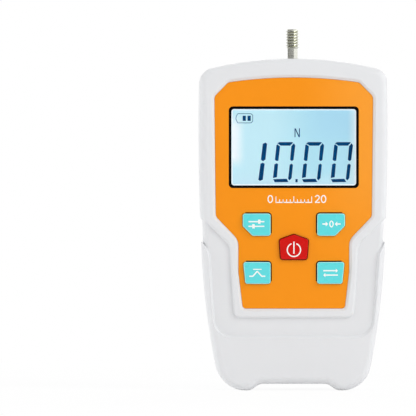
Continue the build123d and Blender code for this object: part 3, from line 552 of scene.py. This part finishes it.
def digit_bars(character, left):
    """The lit bars of a 1 or a nought, each an outline of corners that leans with height."""
    w, h, t = DIGIT_WIDTH, DIGIT_HEIGHT, LEVEL_BAR
    mid = h / 2
    upper, lower = mid + MIDDLE_GAP, mid - MIDDLE_GAP
    if character == "1":
        bars = [
            [(w - 0.5, h - 0.2), (w + 0.25, h - 0.8), (w + 0.25, upper + 0.7),
             (w - 0.75, upper - 0.1), (w - 1.8, upper + 0.6), (w - 1.7, h - 0.8)],
            [(w - 0.85, lower + 0.3), (w + 0.1, lower - 0.2), (w, 1.2), (w - 1.2, 0.6),
             (w - 2.0, 1.1), (w - 1.8, lower - 0.2)],
        ]
    else:
        bars = [
            [(0.3, h - 0.55), (1.2, h), (w - 1.5, h), (w - 1.1, h - 0.3),
             (w - 2.3, h - t), (1.95, h - t)],
            [(w - 0.75, h - 0.5), (w, h - 1.5), (w - 0.1, upper + 0.5), (w - 0.8, upper),
             (w - 1.65, upper + 0.6), (w - 1.75, h - 1.9)],
            [(w - 0.85, lower - 0.15), (w - 0.1, lower - 0.7), (w - 0.1, 1.9), (w - 0.9, 0.85),
             (w - 1.65, 1.55), (w - 1.6, lower - 0.7)],
            [(0.15, 1.4), (w - 2.3, t), (w - 1.3, 0.1), (1.0, 0)],
            [(0.95, lower), (1.65, lower - 0.3), (1.75, 2.3), (0, 1.9), (0, lower - 0.5)],
            [(0.45, h - 1.0), (1.7, h - 1.95), (1.65, upper + 0.2), (0.95, upper),
             (0, upper + 0.5), (0, h - 1.35)],
        ]
    return [[(left + x + z * LEAN, DIGIT_FOOT + z) for x, z in bar] for bar in bars]


POINT_X, POINT_WIDTH, POINT_HEIGHT = 0.85, 1.0, 1.45
reading = []
for position, character in enumerate("1000"):
    reading += digit_bars(character, FIRST_DIGIT_X + position * DIGIT_PITCH)
reading.append(block(POINT_X, DIGIT_FOOT, POINT_X + POINT_WIDTH, DIGIT_FOOT + POINT_HEIGHT))
ink("reading", reading, GLASS_FACE, segment_blue, "gauge_body")

# %% [markdown]
# The unit and the battery level are small fixed symbols on the same glass. The battery is an
# outline of straight strokes with cut corners, narrower at its left end, and two blocks of charge.

# %% Unit symbol
N_LEFT, N_RIGHT, N_FOOT, N_TOP, N_STROKE, N_SLANT = 0.45, 2.85, 114.0, 118.0, 0.42, 0.5
unit_strokes = [block(N_LEFT, N_FOOT, N_LEFT + N_STROKE, N_TOP),
                block(N_RIGHT - N_STROKE, N_FOOT, N_RIGHT, N_TOP),
                [(N_LEFT, N_TOP), (N_LEFT + N_SLANT, N_TOP), (N_RIGHT, N_FOOT),
                 (N_RIGHT - N_SLANT, N_FOOT)]]
ink("reading_unit", unit_strokes, GLASS_FACE, segment_blue, "gauge_body")

# %% Battery symbol
(CASE_LEFT, CASE_RIGHT), (CASE_FOOT, CASE_TOP) = (-25.95, -18.4), (120.45, 124.6)
CASE_CUT, CASE_NECK, CASE_LINE = 0.75, 1.6, 0.32
case_corners = [
    (CASE_LEFT + CASE_CUT, CASE_TOP), (CASE_RIGHT - CASE_CUT, CASE_TOP),
    (CASE_RIGHT, CASE_TOP - CASE_CUT), (CASE_RIGHT, CASE_FOOT + CASE_CUT),
    (CASE_RIGHT - CASE_CUT, CASE_FOOT), (CASE_LEFT + CASE_CUT, CASE_FOOT),
    (CASE_LEFT, CASE_FOOT + CASE_NECK), (CASE_LEFT, CASE_TOP - CASE_NECK),
]
case_lines = [bar(*start, *end, CASE_LINE)
              for start, end in zip(case_corners, case_corners[1:] + case_corners[:1])]
ink("battery_case", case_lines, GLASS_FACE, segment_pale, "gauge_body")
CHARGE_LEFTS, CHARGE_WIDTH, CHARGE_FOOT, CHARGE_TOP = (-22.95, -20.75), 1.45, 121.35, 123.7
charge = [block(left, CHARGE_FOOT, left + CHARGE_WIDTH, CHARGE_TOP) for left in CHARGE_LEFTS]
ink("battery_charge", charge, GLASS_FACE, segment_blue, "gauge_body")

# %% [markdown]
# A fine pale line just inside the black frame is a painted highlight, where the window's polished
# rim catches the glow from behind, and the line glows a little itself. It is a ring of four
# straight strips and four quarter turns on the window's face.


# %% Painted highlight on the rim of the window
RIM_WIDTH, RIM_ROUND = 0.55, 1.3


def corner_ring(low, high, radius, width):
    """A rounded rectangular ring between two (x, z) corners, as short outlines."""
    (x0, z0), (x1, z1) = low, high
    strips = [block(x0 + radius, z1 - width, x1 - radius, z1),
              block(x0 + radius, z0, x1 - radius, z0 + width),
              block(x0, z0 + radius, x0 + width, z1 - radius),
              block(x1 - width, z0 + radius, x1, z1 - radius)]
    middle = radius - width / 2
    for x, z, start in ((x1 - radius, z1 - radius, 0), (x0 + radius, z1 - radius, 90),
                        (x0 + radius, z0 + radius, 180), (x1 - radius, z0 + radius, 270)):
        strips += arc_band(x, z, middle, middle, width, start=start, sweep=90,
                           steps=CORNER_STEPS)
    return strips


lens_low, lens_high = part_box("display_lens")
rim = corner_ring((lens_low[0] / MM, lens_low[2] / MM), (lens_high[0] / MM, lens_high[2] / MM),
                  RIM_ROUND, RIM_WIDTH)
ink("painted_window_rim_highlight", rim, -lens_low[1] / MM, painted_rim_highlight, "gauge_body")

# %% [markdown]
# ## Key symbols
# Each key carries a plain white symbol printed on its face: sliders for settings, arrows closing
# on a nought for taring, a peak under a bar for holding the highest reading, and opposed arrows
# for changing the unit. They ride on their keys, so they go in with them when pressed.

# %% Arrows and the symbols drawn with them
KEY_FACE = -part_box("set_key")[0][1] / MM
STROKE, SYMBOL_HALF = 0.58, 3.6


def arrow(tail_x, tip_x, z, head=1.1):
    """A straight arrow along x, as a shaft and a three-cornered head."""
    back = tip_x - math.copysign(head, tip_x - tail_x)
    return [bar(tail_x, z, back, z, STROKE), [(tip_x, z), (back, z + head), (back, z - head)]]


def close_on_nought(x, z):
    """Arrows from both sides towards a nought."""
    tail, tip = 4.1, 1.5
    nought_wide, nought_high, nought_line = 0.75, 1.3, 0.5
    return (arrow(x - tail, x - tip, z) + arrow(x + tail, x + tip, z)
            + arc_band(x, z, nought_wide, nought_high, nought_line))


def opposed_arrows(x, z):
    """One arrow each way, one above the other."""
    reach, rise, head = 3.3, 1.0, 0.95
    return (arrow(x - reach, x + reach, z + rise, head)
            + arrow(x + reach, x - reach, z - rise, head))


# %% Sliders and the held peak
def sliders(x, z):
    """Two lines, each with a knob."""
    rise, shift, knob_half, knob_rise = 1.05, 1.3, 0.55, 0.95
    marks = []
    for way in (1, -1):
        line_z, knob_x = z + way * rise, x + way * shift
        marks.append(bar(x - SYMBOL_HALF, line_z, knob_x - knob_half, line_z, STROKE))
        marks.append(bar(knob_x + knob_half, line_z, x + SYMBOL_HALF, line_z, STROKE))
        marks.append(block(knob_x - knob_half, line_z - knob_rise,
                           knob_x + knob_half, line_z + knob_rise))
    return marks


def peak_hold(x, z):
    """A peaked line under the bar that holds it."""
    foot, top, lid = z - 1.5, z + 0.75, z + 1.6
    shoulder, lap, lid_width = 1.9, 0.1, 0.45
    return [bar(x - SYMBOL_HALF, foot, x - shoulder, foot, STROKE),
            bar(x + shoulder, foot, x + SYMBOL_HALF, foot, STROKE),
            bar(x - shoulder - lap, foot, x, top, STROKE),
            bar(x, top, x + shoulder + lap, foot, STROKE),
            bar(x - shoulder, lid, x + shoulder, lid, lid_width)]


# %% Print the symbols on their keys
KEY_SYMBOLS = {
    "set": (sliders, -16.9, 74.9), "zero": (close_on_nought, 16.9, 74.9),
    "peak": (peak_hold, -16.5, 52.9), "unit": (opposed_arrows, 16.5, 52.9),
}
for key, (draw, x, z) in KEY_SYMBOLS.items():
    ink(f"{key}_symbol", draw(x, z), KEY_FACE, print_white, f"{key}_button")

# %% [markdown]
# The power key carries the standard standby sign, a ring broken at the top by an upright bar. The
# ring is a curved stroke like the noughts, in more and shorter pieces because it is larger.

# %% Standby sign
RING_X, RING_Z, RING_RADIUS, RING_LINE = 0.0, 63.25, 2.98, 0.54
RING_GAP, RING_STEPS = 21.0, 56     # the gap's half angle in degrees, and pieces in the ring
BAR_HALF, BAR_FOOT, BAR_TOP = 0.28, RING_Z - 1.7, RING_Z + 3.75
standby = arc_band(RING_X, RING_Z, RING_RADIUS, RING_RADIUS, RING_LINE,
                   start=90 + RING_GAP, sweep=360 - 2 * RING_GAP, steps=RING_STEPS)
standby.append(block(RING_X - BAR_HALF, BAR_FOOT, RING_X + BAR_HALF, BAR_TOP))
ink("standby_sign", standby, KEY_FACE, print_white, "power_button")

# %% [markdown]
# ## Painted shade in the gaps round the keys
# Along the top of each key and on its side towards the middle, a thin black line on the panel is
# painted shade, standing in for a dark slot between the key and the panel's opening. It runs round
# one corner of each key. Leaving it to the shadow alone is not enough in soft light.


# %% Painted shade in the gaps round the keys
GAP_OFFSET, GAP_WIDTH, GAP_ROUND = 0.36, 0.42, 1.2
KEY_FLANGE = 0.9                    # how far the hidden flange of a key reaches past its face
painted_gap_shade = []
for key, inward in (("set_key", 1), ("zero_key", -1), ("peak_key", 1), ("unit_key", -1)):
    key_low, key_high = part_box(key)
    inner = (key_high[0] if inward > 0 else key_low[0]) / MM - inward * KEY_FLANGE
    outer = (key_low[0] if inward > 0 else key_high[0]) / MM + inward * KEY_FLANGE
    foot, top = key_low[2] / MM + KEY_FLANGE, key_high[2] / MM - KEY_FLANGE
    turn_x, turn_z = inner - inward * GAP_ROUND, top - GAP_ROUND
    painted_gap_shade.append(bar(outer + inward * GAP_ROUND, top + GAP_OFFSET, turn_x, top + GAP_OFFSET,
                         GAP_WIDTH))
    painted_gap_shade.append(bar(inner + inward * GAP_OFFSET, turn_z, inner + inward * GAP_OFFSET,
                         foot + GAP_ROUND, GAP_WIDTH))
    painted_gap_shade += arc_band(turn_x, turn_z, GAP_ROUND + GAP_OFFSET, GAP_ROUND + GAP_OFFSET,
                          GAP_WIDTH, start=90, sweep=-90 * inward, steps=CORNER_STEPS)
PANEL_FACE = -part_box("face_panel")[0][1] / MM
# Black ink on the panel face as painted shade in the key gaps.
ink("painted_key_gap_shade", painted_gap_shade, PANEL_FACE, bezel_black, "gauge_body")

# %% [markdown]
# ## Scale printed under the display
# The panel needs something printed under the display. A short graduated scale with its end
# numbers is what a dial gauge would have there, so it says what the instrument is for. The
# numbers are drawn as strokes, like the symbols, so that no font file is needed.

# %% Ticks of the scale
SCALE_Z, SCALE_HALF, SCALE_STEPS, SCALE_LINE = 84.4, 8.2, 10, 0.45
TICK_HALF, TICK_INSET, SHORT_TICK, LONG_TICK, LONG_EVERY = 0.17, 0.15, 1.6, 2.9, 5
scale_marks = [block(-SCALE_HALF, SCALE_Z, SCALE_HALF, SCALE_Z + SCALE_LINE)]
for step in range(SCALE_STEPS + 1):
    x = -SCALE_HALF + TICK_INSET + step * 2 * (SCALE_HALF - TICK_INSET) / SCALE_STEPS
    height = SHORT_TICK if step % LONG_EVERY else LONG_TICK
    scale_marks.append(block(x - TICK_HALF, SCALE_Z, x + TICK_HALF, SCALE_Z + height))
print("ticks:", SCALE_STEPS + 1)

# %% Numbers at its ends
NUMBER_LINE, NOUGHT_WIDE, NOUGHT_HIGH, NOUGHT_Z = 0.5, 1.0, 1.55, SCALE_Z + 1.75
for nought_x in (-10.6, 13.4):
    scale_marks += arc_band(nought_x, NOUGHT_Z, NOUGHT_WIDE, NOUGHT_HIGH, NUMBER_LINE)
TWO_X, HOOK_Z, HOOK_RADIUS, HOOK_STEPS = 10.6, SCALE_Z + 2.45, 0.85, 18
scale_marks += arc_band(TWO_X, HOOK_Z, HOOK_RADIUS, HOOK_RADIUS, NUMBER_LINE,
                        start=170, sweep=-205, steps=HOOK_STEPS)
scale_marks.append(bar(TWO_X + 0.75, SCALE_Z + 1.95, TWO_X - 0.85, SCALE_Z + 0.3, NUMBER_LINE))
scale_marks.append(block(TWO_X - 1.1, SCALE_Z, TWO_X + 1.15, SCALE_Z + NUMBER_LINE))
ink("panel_scale", scale_marks, PANEL_FACE, print_white, "gauge_body")

# %% [markdown]
# ## Sensing shaft with a real thread
# The CAD shaft is a plain turned bar. A thread cut into it could be a bump map, but a screw
# thread shows in outline, so it needs geometry. The whole shaft is one surface in rings: every
# ring point asks how deep the thread is at its height and angle, which winds a true helix. At the
# foot the groove runs out into the shank, and at the tip a chamfer takes off the sharp edge.

# %% Shape of the thread
shaft_low, shaft_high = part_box("sensing_shaft")
SHAFT_FOOT, SHAFT_TOP = shaft_low[2] / MM, shaft_high[2] / MM
THREAD_RADIUS, SHANK_RADIUS = shaft_high[0] / MM, 2.3
THREAD_LENGTH, PITCH, THREAD_DEPTH, TIP_CHAMFER = 8.1, 1.25, 0.7, 0.6
ROOT_SHARE, FLANK_SHARE = 0.12, 0.72   # of half a pitch; the crest has the rest
RUNOUT, RUNOUT_SLOPE = 0.5, 1.4        # how the groove fades into the shank below the thread
ROOT_UNDERCUT = 0.02
THREAD_FOOT = SHAFT_TOP - THREAD_LENGTH


def thread_radius(z, turn):
    """The shaft's radius at a height and at a fraction of a turn round it."""
    if z < THREAD_FOOT - RUNOUT:
        return SHANK_RADIUS
    phase = (z / PITCH - turn) % 1.0
    flank = min(1.0, max(0.0, (abs(phase - 0.5) * 2 - ROOT_SHARE) / FLANK_SHARE))
    radius = THREAD_RADIUS - THREAD_DEPTH * (1 - flank)
    tip_limit = THREAD_RADIUS - max(0.0, z - (SHAFT_TOP - TIP_CHAMFER))
    runout = SHANK_RADIUS + max(0.0, (z - THREAD_FOOT + RUNOUT)) * RUNOUT_SLOPE
    return max(SHANK_RADIUS - ROOT_UNDERCUT, min(radius, tip_limit, runout))


print("thread from", round(THREAD_FOOT, 2), "to", round(SHAFT_TOP, 2), "mm")

# %% Threaded shaft
RINGS_PER_TURN, AROUND = 14, 48
threaded_stretch = SHAFT_TOP - THREAD_FOOT + RUNOUT
threaded_rings = int(threaded_stretch * RINGS_PER_TURN)
levels = [SHAFT_FOOT, THREAD_FOOT - 4.0, THREAD_FOOT - RUNOUT - 0.1]
levels += [THREAD_FOOT - RUNOUT + threaded_stretch * i / threaded_rings
           for i in range(threaded_rings + 1)]
mesh = bmesh.new()
rings = []
for z in levels:
    ring = []
    for i in range(AROUND):
        turn = i / AROUND
        radius, angle = thread_radius(z, turn), 2 * math.pi * turn
        ring.append(mesh.verts.new((radius * math.cos(angle) * MM,
                                    radius * math.sin(angle) * MM, z * MM)))
    rings.append(ring)
for low, high in zip(rings, rings[1:]):
    for i in range(AROUND):
        j = (i + 1) % AROUND
        mesh.faces.new((low[i], low[j], high[j], high[i])).smooth = True
mesh.faces.new(rings[0][::-1])
mesh.faces.new(rings[-1])
threaded_shaft = object_from(mesh, "threaded_shaft", shaft_steel)
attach(threaded_shaft, "shaft")
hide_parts("sensing_shaft")
print("shaft rings:", len(levels))

# %% [markdown]
# The thread's grooves are painted darker than its crests, as painted shade in the recesses. The
# depth of the groove is known from the distance to the shaft's axis, which a shader can measure as
# well, and that gives a mask which follows the helix exactly.

# %% Painted shade in the thread's grooves
tree = shaft_steel.node_tree
groove = mask_between(tree, distance_from_axis(tree), (THREAD_RADIUS - THREAD_DEPTH) * MM,
                      THREAD_RADIUS * MM, at_low=1.0, at_high=0.0)
above = worked_out(tree, "GREATER_THAN", coordinates(tree)["Z"], (THREAD_FOOT - RUNOUT) * MM)
recolour(shaft_steel, worked_out(tree, "MULTIPLY", groove, above), rgb(196, 196, 178))
print("thread finished")

# %% [markdown]
# ## Housing screws with cross recesses
# Seen from behind, each counterbore holds a domed screw head with a cross recess. The dome is a
# few rings; the recess is a cross of two tapered blocks taken away with a Boolean, which is the
# shortest way to clean slots. The cutter is deleted once the cut mesh has been kept.

# %% Screws with domed heads
screws_low, screws_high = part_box("housing_screws")
SCREW_PLACES = [(-34.8, 137.0), (34.8, 137.0), (-28.0, 13.0), (28.0, 13.0)]
HEAD_SEAT, HEAD_BACK = 14.0, screws_high[1] / MM
HEAD_RADIUS, CORE_RADIUS, SCREW_TIP = 2.8, 1.45, screws_low[1] / MM
SCREW_PROFILE = [(0, SCREW_TIP), (CORE_RADIUS, SCREW_TIP + 1.2), (CORE_RADIUS, HEAD_SEAT),
                 (HEAD_RADIUS, HEAD_SEAT), (HEAD_RADIUS, HEAD_SEAT + 0.9),
                 (2.45, HEAD_BACK - 0.42), (1.7, HEAD_BACK - 0.12), (0, HEAD_BACK)]
SCREW_SIDES = 40


def turned(mesh, profile, x, z, sides):
    """Turn a profile of (radius, y) about an axis along Y through (x, z)."""
    rings = []
    for radius, y in profile:
        count = 1 if radius == 0 else sides
        rings.append([mesh.verts.new(((x + radius * math.cos(2 * math.pi * i / sides)) * MM, y * MM,
                                      (z + radius * math.sin(2 * math.pi * i / sides)) * MM))
                      for i in range(count)])
    for low, high in zip(rings, rings[1:]):
        for i in range(sides):
            j = (i + 1) % sides
            corners = [low[i % len(low)], low[j % len(low)], high[j % len(high)],
                       high[i % len(high)]]
            unique = list(dict.fromkeys(corners))
            mesh.faces.new(unique).smooth = True


mesh = bmesh.new()
for x, z in SCREW_PLACES:
    turned(mesh, SCREW_PROFILE, x, z, SCREW_SIDES)
cross_screws = object_from(mesh, "cross_screws", screw_steel)
print("screw faces before the cut:", len(cross_screws.data.polygons))

# %% Cutter for the recesses
mesh = bmesh.new()
SLOT_LENGTH, SLOT_WIDTH, SLOT_DEPTH = 1.55, 0.36, 1.25
SLOT_PROUD, DEEP_LENGTH, DEEP_WIDTH = 0.5, 0.5, 0.8    # above the head; and shares at the bottom
for x, z in SCREW_PLACES:
    for quarter in range(2):
        corners = []
        for y, length, width in (
                (HEAD_BACK + SLOT_PROUD, SLOT_LENGTH, SLOT_WIDTH),
                (HEAD_BACK - SLOT_DEPTH, SLOT_LENGTH * DEEP_LENGTH, SLOT_WIDTH * DEEP_WIDTH)):
            for sx, sz in ((-1, -1), (1, -1), (1, 1), (-1, 1)):
                dx, dz = sx * length, sz * width
                if quarter:
                    dx, dz = dz, dx
                corners.append(mesh.verts.new(((x + dx) * MM, y * MM, (z + dz) * MM)))
        top, bottom = corners[:4], corners[4:]
        mesh.faces.new(top)
        mesh.faces.new(bottom[::-1])
        for i in range(4):
            j = (i + 1) % 4
            mesh.faces.new((top[i], top[j], bottom[j], bottom[i]))
recess_cutter = object_from(mesh, "recess_cutter", screw_steel)
print("slots to cut:", 2 * len(SCREW_PLACES))

# %% Cut the recesses
cut = cross_screws.modifiers.new("cross", "BOOLEAN")
cut.operation, cut.object, cut.solver, cut.use_self = "DIFFERENCE", recess_cutter, "EXACT", True
bpy.context.view_layer.update()
cut_mesh = bpy.data.meshes.new_from_object(
    cross_screws.evaluated_get(bpy.context.evaluated_depsgraph_get()))
cross_screws.modifiers.clear()
cross_screws.data = cut_mesh
bpy.data.objects.remove(recess_cutter)
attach(cross_screws, "gauge_body")
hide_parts("housing_screws")
print("screw faces:", len(cut_mesh.polygons))

# %% [markdown]
# ## Floor and background
# The gauge stands on a white sweep. The floor and the world look pure white to the camera, in
# reflections and through glass, while their light on the gauge stays at a plain level, so that
# each colour renders about as it is written. Light Path tells those rays apart. A brighter lamp
# would whiten the floor too, but it would wash out the gauge. The floor keeps part of its own
# shading near the gauge, and with it the shadow.


# %% Floor
def shown_rays(tree):
    """The Light Path outputs, and 1 where a ray shows a surface instead of lighting one."""
    rays = add_node(tree, "ShaderNodeLightPath").outputs
    shown = worked_out(tree, "MAXIMUM", rays["Is Camera Ray"], rays["Is Glossy Ray"])
    return rays, worked_out(tree, "MAXIMUM", shown, rays["Is Transmission Ray"])


mesh = bmesh.new()
FLOOR_HALF = 6.0
bmesh.ops.create_grid(mesh, x_segments=2, y_segments=2, size=FLOOR_HALF)
floor_white, tree, shader = new_material("floor white", Roughness=0.9,
                                         Base_Color=(0.98, 0.98, 0.98, 1))
NEAR, FAR = 0.12, 0.5               # metres from the gauge's axis
WHITE_NEAR = 0.93                   # the share of plain white near the gauge; it is 1 far away
fade = mask_between(tree, distance_from_axis(tree), NEAR, FAR, at_low=WHITE_NEAR)
share = worked_out(tree, "MULTIPLY", shown_rays(tree)[1], fade)
white = add_node(tree, "ShaderNodeEmission", Strength=1.0)
mixed = add_node(tree, "ShaderNodeMixShader", Fac=share)
feed(tree, mixed.inputs[1], shader.outputs["BSDF"])
feed(tree, mixed.inputs[2], white.outputs["Emission"])
feed(tree, tree.nodes["Material Output"].inputs["Surface"], mixed.outputs["Shader"])
floor = object_from(mesh, "floor", floor_white)
print("floor across:", 2 * FLOOR_HALF, "m")

# %% [markdown]
# The world is weaker straight overhead, so that the pale top faces don't wash out. In front of
# the gauge, towards the left, the room is dark: reflections show it as the dark band down the
# polished shaft, and it keeps the panel's and keys' colours deep. Both are masks over the
# world's own directions, which stay put when the view turns.

# %% World
AMBIENT, OVERHEAD = 0.87, 0.44      # the world's light at the sides and straight down
LOW_SKY, HIGH_SKY = 0.45, 0.95      # heights in the world, where straight up is 1
DARK_SIDE, DARK_GREY = math.radians(-60), (0.08, 0.08, 0.08, 1)
DARK_FROM, DARK_FULL = -0.05, 0.2   # cosines of the angle to the middle of the dark side
world = bpy.data.worlds.new("studio")
bpy.context.scene.world = world
world.use_nodes = True
tree = world.node_tree
rays, shown = shown_rays(tree)
height = coordinates(tree, "Generated")["Z"]
ambient = mask_between(tree, height, LOW_SKY, HIGH_SKY, AMBIENT, OVERHEAD)
level = mask_between(tree, shown, 0, 1, ambient, 1.0, kind="LINEAR")
sky = add_node(tree, "ShaderNodeTexCoord").outputs["Generated"]
facing = add_node(tree, "ShaderNodeVectorMath", operation="DOT_PRODUCT", Vector=sky)
feed(tree, facing.inputs[1], (math.sin(DARK_SIDE), -math.cos(DARK_SIDE), 0))
dark = mask_between(tree, facing.outputs["Value"], DARK_FROM, DARK_FULL)
mirrored_dark = worked_out(tree, "MULTIPLY", rays["Is Glossy Ray"], dark)
background = tree.nodes["Background"]
feed(tree, background.inputs["Color"],
     mixed_in(tree, mirrored_dark, (1, 1, 1, 1), DARK_GREY))
feed(tree, background.inputs["Strength"], level)
print("world ambient:", AMBIENT)

# %% [markdown]
# ## Lamps
# A soft main lamp stands high on the right, a weaker one fills the left, and one stands behind
# for the views from there. Wide area lamps give soft shadows. The left one is kept out of
# reflections, where it would break up the dark band on the shaft.


# %% Lamps
def soft_lamp(name, place, target, size, power, mirrored=True):
    """A square lamp aimed at a point. One that isn't mirrored leaves no glint on metal."""
    data = bpy.data.lights.new(name, "AREA")
    data.size, data.energy = size, power
    lamp = bpy.data.objects.new(name, data)
    lamp.location = place
    lamp.visible_glossy = mirrored
    aim = Vector(target) - Vector(place)
    lamp.rotation_euler = aim.to_track_quat("-Z", "Y").to_euler()
    bpy.context.collection.objects.link(lamp)


MIDDLE = (0, 0, 0.08)
soft_lamp("main lamp", (0.75, -0.55, 0.75), MIDDLE, 0.45, 4.0)
soft_lamp("rim lamp", (-1.1, -0.05, 0.55), MIDDLE, 0.6, 3.3, mirrored=False)
soft_lamp("back lamp", (0.2, 1.2, 0.9), MIDDLE, 0.8, 2.5)

bpy.context.scene.view_settings.view_transform = "Standard"
print("lamps:", len(bpy.data.lights))
